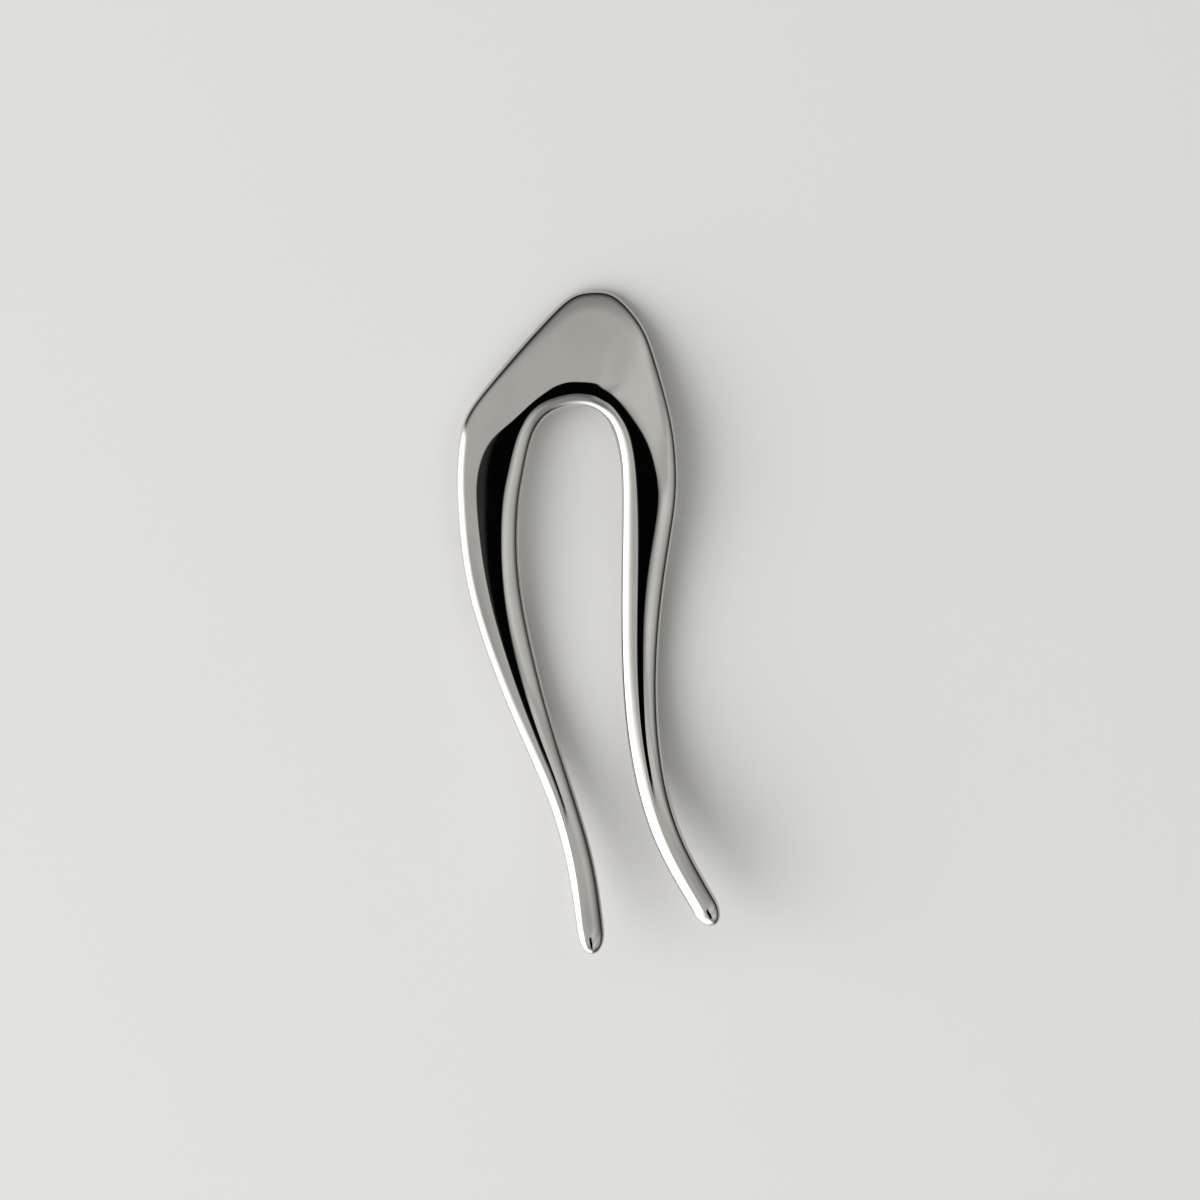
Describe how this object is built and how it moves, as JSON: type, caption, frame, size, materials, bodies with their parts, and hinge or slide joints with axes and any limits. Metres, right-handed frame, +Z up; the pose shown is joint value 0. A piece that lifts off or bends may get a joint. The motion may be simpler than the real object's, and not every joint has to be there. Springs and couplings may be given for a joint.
{
  "type": "french hair pin",
  "caption": "Cast and polished metal hair pin: a leaf-shaped head that slopes down from the rim of a round arch, and two smooth prongs whose rounded tips curve up.",
  "frame": {"origin": "on the surface that the pin lies on, below the middle of its bounding box", "axes": "+Z up from that surface, +Y along the pin towards the top of its head, +X to the right seen from above"},
  "size_m": [0.0436, 0.1098, 0.0126],
  "materials": {
    "polished_metal": "bright polished plating over a zinc alloy casting, mirror-like, with faint polishing marks"
  },
  "bodies": {
    "root": {"hair_pin": "polished_metal"}
  },
  "joints": []
}
